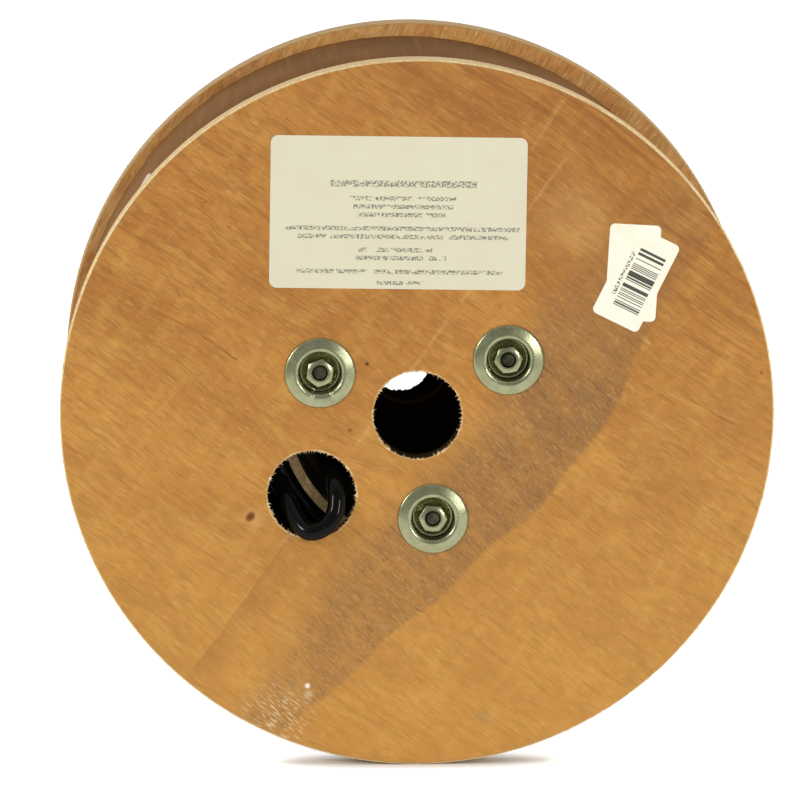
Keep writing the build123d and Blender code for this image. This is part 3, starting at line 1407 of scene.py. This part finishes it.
    def rim_splinters(self, name: str, side: Side, seed: int) -> bpy.types.Object:
        """Makes loose fibres along the sawn rim.

        Args:
            name: The piece's name.
            side: The flange it is on.
            seed: Seeds the fibres.

        Returns:
            The piece.
        """
        dice = random.Random(seed)
        points: list[Point] = []
        faces: list[tuple[int, ...]] = []
        for _ in range(self.rim_fibres):
            angle = dice.uniform(0, math.tau)
            if math.sin(angle) < -0.97:
                continue
            spoke = Vector((math.cos(angle), 0.0, math.sin(angle)))
            along = Vector((-spoke.z, 0.0, spoke.x)) * dice.choice((-1.0, 1.0))
            outer = dice.random() < 0.7
            level = self.outer_face - 0.7 if outer else self.inner_face + 0.7
            root = spoke * (self.radius - 0.25) + Vector((0.0, side.value * level, 0.0))
            length = 0.6 + 2.6 * dice.random() ** 3
            drift = Vector((0.0, side.value * dice.uniform(-0.5, 0.5), 0.0))
            tip = root + along * length + spoke * dice.uniform(0.05, 0.55) + drift
            more, sides = self.needle(root, tip, self.fibre * dice.uniform(0.9, 1.9))
            faces += [tuple(n + len(points) for n in f) for f in sides]
            points += more
        return make_piece(name, points, faces, self.torn)


@dataclass
class CableAndCore:
    """The core tube, the wound cable and the cable's inner end in the start hole."""

    half_length: float = 57.9
    inner_radius: float = 54.2
    outer_radius: float = 130.3
    cable: float = 7.2
    layers: int = 11
    around: int = 144
    hole_angle: float = 217.2
    hole_radius: float = 52.0
    face: float = 70.0
    route: tuple[Point, ...] = (
        (-17.0, 6.5, -22.0),
        (-10.0, 8.0, -12.0),
        (8.2, 12.0, 2.4),
        (13.0, 6.5, 5.2),
        (12.0, -3.0, 3.5),
        (4.0, -9.3, 0.5),
        (-4.5, -11.0, -14.0),
        (-10.0, -14.5, -28.0),
        (-14.5, -18.0, -41.0),
    )
    sheath: PolyethyleneSheath = PolyethyleneSheath("black_polyethylene_sheath")

    def build(self) -> list[bpy.types.Object]:
        """Builds the winding and the inner end, and dresses the tube.

        Returns:
            The pieces.
        """
        tube = dress("core_tube", WoundTubeBoard("wound_tube_board"))
        return [tube, self.winding(), self.inner_end()]

    def winding(self) -> bpy.types.Object:
        """Makes the wound cable, with round turns on both ends.

        Returns:
            The piece.
        """
        pitch = (self.outer_radius - self.inner_radius) / self.layers
        bulge = pitch / 2
        ends: Outline = []
        for layer in range(self.layers):
            middle = self.inner_radius + (layer + 0.5) * pitch
            ends += arc((middle, self.half_length - bulge), bulge, 176.0, 4.0, 9)
        outline = ends + [(radius, -height) for radius, height in reversed(ends)]
        points = []
        for radius, height in outline:
            for j in range(self.around):
                angle = math.tau * j / self.around
                points.append((radius * math.cos(angle), -height, radius * math.sin(angle)))
        faces = ring_faces(len(outline), self.around)
        piece = make_piece("wound_cable", points, faces, self.sheath)
        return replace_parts(piece, "cable_winding")

    def inner_end(self) -> bpy.types.Object:
        """Makes the cable's inner end, folded over the tube's end in the start hole.

        Returns:
            The piece.
        """
        turn = math.radians(self.hole_angle)
        along = Vector((-math.sin(turn), 0.0, math.cos(turn)))
        away = Vector((math.cos(turn), 0.0, math.sin(turn)))
        mouth = away * self.hole_radius + Vector((0.0, -self.face, 0.0))
        line = bpy.data.curves.new("inner_cable_end_line", "CURVE")
        line.dimensions = "3D"
        spline = line.splines.new("NURBS")
        spline.points.add(len(self.route) - 1)
        for point, (a, b, c) in zip(spline.points, self.route):
            place = (mouth + along * a + away * b + Vector((0.0, -c, 0.0))) * MM
            point.co = (*place, 1.0)
        spline.order_u = 3
        spline.use_endpoint_u = True
        line.resolution_u = 16
        line.bevel_depth = self.cable / 2 * MM
        line.bevel_resolution = 9
        line.use_fill_caps = True
        line.materials.append(self.sheath.material())
        piece = bpy.data.objects.new("inner_cable", line)
        bpy.context.scene.collection.objects.link(piece)
        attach(piece, "root")
        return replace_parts(piece, "inner_cable_end")


@dataclass
class BoardWrap:
    """The strip of fluted board wound once round the cable, its end lying over its start."""

    inner_radius: float = 130.5
    start_radius: float = 132.7
    end_radius: float = 133.3
    half_width: float = 57.6
    seam_angle: float = 141.5
    flute_pitch: float = 7.2
    flute_height: float = 0.10
    bulge: float = 2.9
    bulge_angle: float = 156.0
    steps: int = 6
    edge: float = 0.25
    tape_angles: tuple[float, float] = (140.0, 145.2)
    tape_start: float = -52.0
    tape_shoulder: float = -27.0
    tape_peak: tuple[float, float] = (140.9, -1.5)
    tape_sheet: float = 0.15
    tape_gap: float = 0.1
    tape_nick: float = 7.0
    tape_tears: int = 9
    tape_jag: float = 1.3

    def build(self) -> list[bpy.types.Object]:
        """Builds the wrap.

        Returns:
            The pieces.
        """
        flutes = round(math.tau * self.end_radius / self.flute_pitch)
        around = flutes * self.steps
        seam = math.radians(self.seam_angle)
        points: list[Point] = []
        for i in range(around + 1):
            share = i / around
            angle = seam + math.tau * share
            wave = self.flute_height / 2 * math.cos(math.tau * flutes * share)
            wave += self.bulge * math.cos(angle - math.radians(self.bulge_angle))
            outer = self.start_radius + (self.end_radius - self.start_radius) * share + wave
            section = (
                (self.inner_radius, -self.half_width),
                (outer - self.edge, -self.half_width),
                (outer, self.edge - self.half_width),
                (outer, self.half_width - self.edge),
                (outer - self.edge, self.half_width),
                (self.inner_radius, self.half_width),
            )
            points += [(radius * math.cos(angle), y, radius * math.sin(angle)) for radius, y in section]
        corners = len(section)
        faces: list[tuple[int, ...]] = []
        for i in range(around):
            here, there = i * corners, (i + 1) * corners
            for j in range(corners):
                k = (j + 1) % corners
                faces.append((here + j, here + k, there + k, there + j))
        faces.append(tuple(range(corners)))
        faces.append(tuple(around * corners + k for k in reversed(range(corners))))
        finish = KraftBoard("fluted_kraft_board")
        piece = make_piece("fluted_board_wrap", points, faces, finish, 50.0)
        return [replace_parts(piece, "board_wrap"), self.tape_end(17)]

    def tape_end(self, seed: int) -> bpy.types.Object:
        """Makes the strip of paper tape that holds the wrap's end down, torn off at a slant.

        Args:
            seed: Seeds the tear.

        Returns:
            The piece.
        """
        dice = random.Random(seed)
        near, far = self.tape_angles
        peak, top = self.tape_peak
        outline: Outline = [
            (far, self.tape_start),
            (near, self.tape_start),
            (near, top - self.tape_nick),
            (peak, top),
        ]
        for i in range(1, self.tape_tears):
            share = i / self.tape_tears
            slant = top + (self.tape_shoulder - top) * share
            jag = dice.uniform(-self.tape_jag, self.tape_jag)
            outline.append((peak + (far - peak) * share, slant + jag))
        outline.append((far, self.tape_shoulder))
        points: list[Point] = []
        for lift in (self.tape_gap, self.tape_gap + self.tape_sheet):
            for degrees, y in outline:
                swell = self.bulge * math.cos(math.radians(degrees - self.bulge_angle))
                radius = self.end_radius + self.flute_height / 2 + swell + lift
                angle = math.radians(degrees)
                points.append((radius * math.cos(angle), y, radius * math.sin(angle)))
        count = len(outline)
        faces = [tuple(range(count)), tuple(reversed(range(count, 2 * count)))]
        faces += [(k, (k + 1) % count, count + (k + 1) % count, count + k) for k in range(count)]
        paper = CoatedPaper("torn_paper_tape", paper="#D8C2A6", paper_deep="#C9B092")
        return make_piece("wrap_tape_end", points, faces, paper)


@dataclass(frozen=True)
class Dent:
    """A knock in a washer's crest."""

    angle: float
    spread: float
    crease: float
    depth: float
    radius: float = 9.6
    reach: float = 2.6


@dataclass
class PressedWasher:
    """A washer pressed from sheet: a rounded rim, a crest and a well for the nut or the bolt head."""

    hole: float = 3.3
    rim_radius: float = 13.95
    well_radius: float = 8.2
    well_depth: float = 5.0
    sheet: float = 1.0
    crest: float = 1.85
    crest_bend: float = 1.7
    floor_bend: float = 0.8
    lean: float = 17.0
    roll: float = 1.2
    around: int = 144

    def outline(self) -> Outline:
        """Draws the pressed section.

        Returns:
            A closed outline of radius and height above the board.
        """
        floor = -self.well_depth
        bend = (self.well_radius + self.crest_bend, self.crest - self.crest_bend)
        corner = (self.well_radius - self.floor_bend, floor + self.floor_bend)
        tilt = 90.0 - self.lean
        shoulder = arc(bend, self.crest_bend - self.roll, tilt, tilt, 1)[0]
        reach = self.rim_radius - self.roll
        edge = (reach, shoulder[1] - (reach - shoulder[0]) * math.tan(math.radians(self.lean)))
        top = [(self.hole, floor)]
        top += arc(corner, self.floor_bend, -90.0, 0.0, 6)
        top += arc(bend, self.crest_bend, 180.0, tilt, 18)
        top += arc(edge, self.roll, tilt, 6.0, 14)
        under = [(self.rim_radius - self.sheet, top[-1][1])]
        under += arc(bend, self.crest_bend - self.sheet, tilt, 180.0, 8)
        under += arc(corner, self.floor_bend + self.sheet, 0.0, -90.0, 6)
        under.append((self.hole, floor - self.sheet))
        return top + under

    def build(
        self,
        name: str,
        centre: tuple[float, float],
        side: Side,
        finish: Finish,
        dent: Optional[Dent],
    ) -> bpy.types.Object:
        """Builds one washer.

        Args:
            name: The piece's name.
            centre: Its centre, as X and Z.
            side: The flange it is on.
            finish: What it is made of.
            dent: A knock in it, if it has one.

        Returns:
            The piece.
        """
        points = []
        outline = self.outline()
        for radius, height in outline:
            for j in range(self.around):
                angle = math.tau * j / self.around
                drop = self.knock(dent, math.degrees(angle), radius) if dent else 0.0
                points.append(
                    (
                        centre[0] + radius * math.cos(angle),
                        side.value * (Flanges.outer_face + height - drop),
                        centre[1] + radius * math.sin(angle),
                    )
                )
        return make_piece(name, points, ring_faces(len(outline), self.around), finish)

    def knock(self, dent: Dent, angle: float, radius: float) -> float:
        """Gives how far a knock has pushed the sheet in at one place.

        Args:
            dent: The knock.
            angle: The place's angle, in degrees.
            radius: The place's radius.

        Returns:
            The drop in millimetres.
        """
        swing = abs((angle - dent.angle + 180.0) % 360.0 - 180.0)
        turn = min(1.0, max(0.0, (dent.spread - swing) / dent.crease))
        reach = max(0.0, 1.0 - ((radius - dent.radius) / dent.reach) ** 2)
        return dent.depth * turn * turn * (3.0 - 2.0 * turn) * reach


@dataclass
class FlangeNut:
    """A hexagon nut with a sloping round flange, its corners turned off at the top."""

    across_flats: float = 10.0
    height: float = 6.0
    flange_radius: float = 7.1
    flange_edge: float = 1.1
    flange_rise: float = 2.6
    crown: float = 0.45
    thread: float = 3.1
    countersink: float = 0.5
    foot_bend: float = 0.3
    edge_bend: float = 0.35
    slope_inset: float = 0.2
    steps: int = 8
    around: int = 96

    def build(
        self,
        name: str,
        centre: tuple[float, float],
        seat: float,
        turn: float,
        finish: Finish,
    ) -> bpy.types.Object:
        """Builds one nut.

        Args:
            name: The piece's name.
            centre: Its centre, as X and Z.
            seat: The Y of the face it sits on; the nut stands towards -Y.
            turn: The angle of its corners, in degrees.
            finish: What it is made of.

        Returns:
            The piece.
        """
        flat = self.across_flats / 2
        corner = flat / math.cos(math.radians(30))
        fall = (corner - flat) * math.tan(math.radians(30))
        foot, edge = self.foot_bend, self.edge_bend
        rounded = arc((self.flange_radius - foot, foot), foot, -90.0, 0.0, 4)
        rounded += arc((self.flange_radius - edge, self.flange_edge - edge), edge, 0.0, 60.0, 4)
        rings = [(height, radius, 0.0) for radius, height in rounded]
        brim = self.flange_radius - self.slope_inset
        top = self.height - self.crown
        mouth = self.thread + self.countersink
        shares = [i / self.steps for i in range(1, self.steps + 1)]
        for share in shares:
            height = self.flange_edge + (self.flange_rise - self.flange_edge) * share
            rings.append((height, brim - (brim - flat) * share**0.8, corner))
        rings += [(self.flange_rise + 0.05, 0.0, corner), (top - fall, 0.0, corner)]
        for share in shares:
            rings.append((top - fall * (1 - share), 0.0, corner - (corner - flat) * share))
        for share in shares:
            height = top + self.crown * math.sin(share * math.pi / 2)
            rings.append((height, flat - (flat - mouth) * share, 0.0))
        rings += [(self.height - self.countersink, self.thread, 0.0), (0.0, self.thread, 0.0)]
        points = []
        for height, least, most in rings:
            for j in range(self.around):
                angle = math.tau * j / self.around
                swing = angle % (math.pi / 3) - math.pi / 6
                reach = max(least, min(flat / math.cos(swing), most))
                bearing = angle + math.radians(turn)
                x = centre[0] + reach * math.cos(bearing)
                z = centre[1] + reach * math.sin(bearing)
                points.append((x, seat - height, z))
        return make_piece(name, points, ring_faces(len(rings), self.around), finish, 25.0)


@dataclass
class Fasteners:
    """Three through bolts with pressed washers on both flanges and flange nuts at the front."""

    bolt_radius: float = 41.7
    angles: tuple[float, ...] = (31.4, 156.1, 278.4)
    nut_turns: tuple[float, ...] = (8.0, 21.0, -3.0)
    nut_seat: float = -65.0
    dented: int = 2
    dent: Dent = Dent(-85.0, 27.0, 7.0, 0.8)
    zinc: ZincPlate = ZincPlate("zinc_plated_steel")
    raw_end: ZincPlate = ZincPlate(
        "rolled_bolt_end", zinc="#5C5D4A", zinc_deep="#34352A", rough_low=0.35, rough_high=0.6
    )

    def build(self) -> list[bpy.types.Object]:
        """Builds washers and nuts, and dresses the bolts.

        Returns:
            The pieces.
        """
        pieces = []
        washer, nut = PressedWasher(), FlangeNut()
        for number, (angle, nut_turn) in enumerate(zip(self.angles, self.nut_turns), start=1):
            turn = math.radians(angle)
            centre = (self.bolt_radius * math.cos(turn), self.bolt_radius * math.sin(turn))
            for side in Side:
                end = side.name.lower()
                knock = self.dent if side is Side.FRONT and number == self.dented else None
                piece = washer.build(f"{end}_pressed_washer_{number}", centre, side, self.zinc, knock)
                pieces.append(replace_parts(piece, f"{end}_washer_{number}"))
            piece = nut.build(f"flange_nut_{number}", centre, self.nut_seat, nut_turn, self.zinc)
            pieces.append(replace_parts(piece, f"nut_{number}"))
            pieces.append(dress(f"bolt_{number}", self.raw_end))
        return pieces


@dataclass
class PaperOnFace:
    """The label and the two stickers on the front face."""

    label_centre: tuple[float, float] = (-7.5, 80.0)
    label_turn: float = -0.9
    upper_centre: tuple[float, float] = (85.4, 53.6)
    upper_turn: float = -26.5
    sticker: str = "#FFFCE8"
    sticker_deep: str = "#FDF7DE"

    def build(self) -> list[bpy.types.Object]:
        """Dresses the papers.

        Returns:
            The pieces.
        """
        label = CoatedPaper("satin_label_paper", Print.ROWS, self.label_centre, self.label_turn)
        lower = CoatedPaper(
            "white_sticker_paper", paper=self.sticker, paper_deep=self.sticker_deep
        )
        upper = CoatedPaper(
            "barred_sticker_paper",
            Print.BARS,
            self.upper_centre,
            self.upper_turn,
            self.sticker,
            self.sticker_deep,
        )
        return [dress("label", label), dress("lower_sticker", lower), dress("upper_sticker", upper)]


@dataclass(frozen=True)
class Lamp:
    """A soft box: its place and size in metres, and its power in watts."""

    name: str
    place: Point
    width: float
    height: float
    watts: float


@dataclass
class Studio:
    """The camera, lamps, world and floor."""

    camera_place: Point = (-0.07839, -2.68616, 0.45375)
    camera_look: Point = (0.02695, 0.98531, -0.16861)
    lens: float = 305.3
    floor_level: float = -0.1401
    floor_size: float = 30.0
    ambient: float = 0.5
    room: float = 0.32
    room_from: float = -0.5
    room_to: float = 0.3
    lamps: tuple[Lamp, ...] = (
        Lamp("left_softbox", (-1.9, -1.3, 0.9), 0.35, 0.7, 16.0),
        Lamp("right_softbox", (1.35, -1.8, 0.5), 0.35, 0.7, 13.1),
        Lamp("left_rim_softbox", (-1.8, 0.35, 0.55), 0.4, 0.8, 5.0),
        Lamp("right_rim_softbox", (1.8, 0.35, 0.55), 0.4, 0.8, 8.0),
        Lamp("top_softbox", (0.0, -0.4, 1.8), 1.6, 1.2, 0.8),
    )

    def build(self) -> None:
        """Sets up the studio."""
        scene = bpy.context.scene
        scene.view_settings.view_transform = "Standard"
        lens = bpy.data.cameras.new("photo_camera")
        lens.lens, lens.clip_end = self.lens, 100.0
        camera = bpy.data.objects.new("photo_camera", lens)
        camera.location = self.camera_place
        camera.rotation_euler = Vector(self.camera_look).to_track_quat("-Z", "Y").to_euler()
        scene.collection.objects.link(camera)
        scene.camera = camera
        for lamp in self.lamps:
            light = bpy.data.lights.new(lamp.name, "AREA")
            light.shape = "RECTANGLE"
            light.size, light.size_y = lamp.width, lamp.height
            light.energy = lamp.watts
            holder = bpy.data.objects.new(lamp.name, light)
            holder.location = lamp.place
            holder.rotation_euler = (-Vector(lamp.place)).to_track_quat("-Z", "Y").to_euler()
            holder.visible_camera = False
            scene.collection.objects.link(holder)
        self.floor()
        self.world()

    def floor(self) -> None:
        """Lays the floor."""
        half, level = self.floor_size / 2, self.floor_level
        mesh = bpy.data.meshes.new("studio_floor")
        corners = ((-half, -half), (half, -half), (half, half), (-half, half))
        mesh.from_pydata([(x, y, level) for x, y in corners], [], [(0, 1, 2, 3)])
        mesh.materials.append(StudioFloor("white_paper_sweep").material())
        floor = bpy.data.objects.new("studio_floor", mesh)
        bpy.context.scene.collection.objects.link(floor)

    def world(self) -> None:
        """Makes the surroundings: white to the eye, a soft fill, and a dim room in reflections."""
        world = bpy.data.worlds.new("studio_world")
        bpy.context.scene.world = world
        world.use_nodes = True
        world.node_tree.nodes.clear()
        add = partial(wire, world.node_tree)
        depth = add("SeparateXYZ", {0: add("TexCoord", out="Generated")}, out="Y")
        room = add(
            "MapRange",
            {
                "Value": depth,
                "From Min": self.room_from,
                "From Max": self.room_to,
                "To Min": self.room,
                "To Max": 1.0,
            },
        )
        camera = add("LightPath", out="Is Camera Ray")
        rays = camera.node.outputs
        clear = add("Math", {0: camera, 1: rays["Is Transmission Ray"]}, operation="MAXIMUM")
        glossy = rays["Is Glossy Ray"]
        strength = add("Mix", {"Factor": glossy, "A": self.ambient, "B": room}, data_type="FLOAT")
        strength = add("Mix", {"Factor": clear, "A": strength, "B": 1.0}, data_type="FLOAT")
        glow = add("Background", {"Color": (1.0, 1.0, 1.0, 1.0), "Strength": strength})
        add("OutputWorld", {"Surface": glow})


def main() -> None:
    """Builds the studio and the drum, and reports each piece."""
    logging.basicConfig(level=logging.INFO, format="%(name)s: %(message)s")
    Studio().build()
    for assembly in (Flanges(), CableAndCore(), BoardWrap(), Fasteners(), PaperOnFace()):
        for piece in assembly.build():
            LOG.info("%s made %s", type(assembly).__name__, piece.name)


if __name__ == "__main__":
    main()
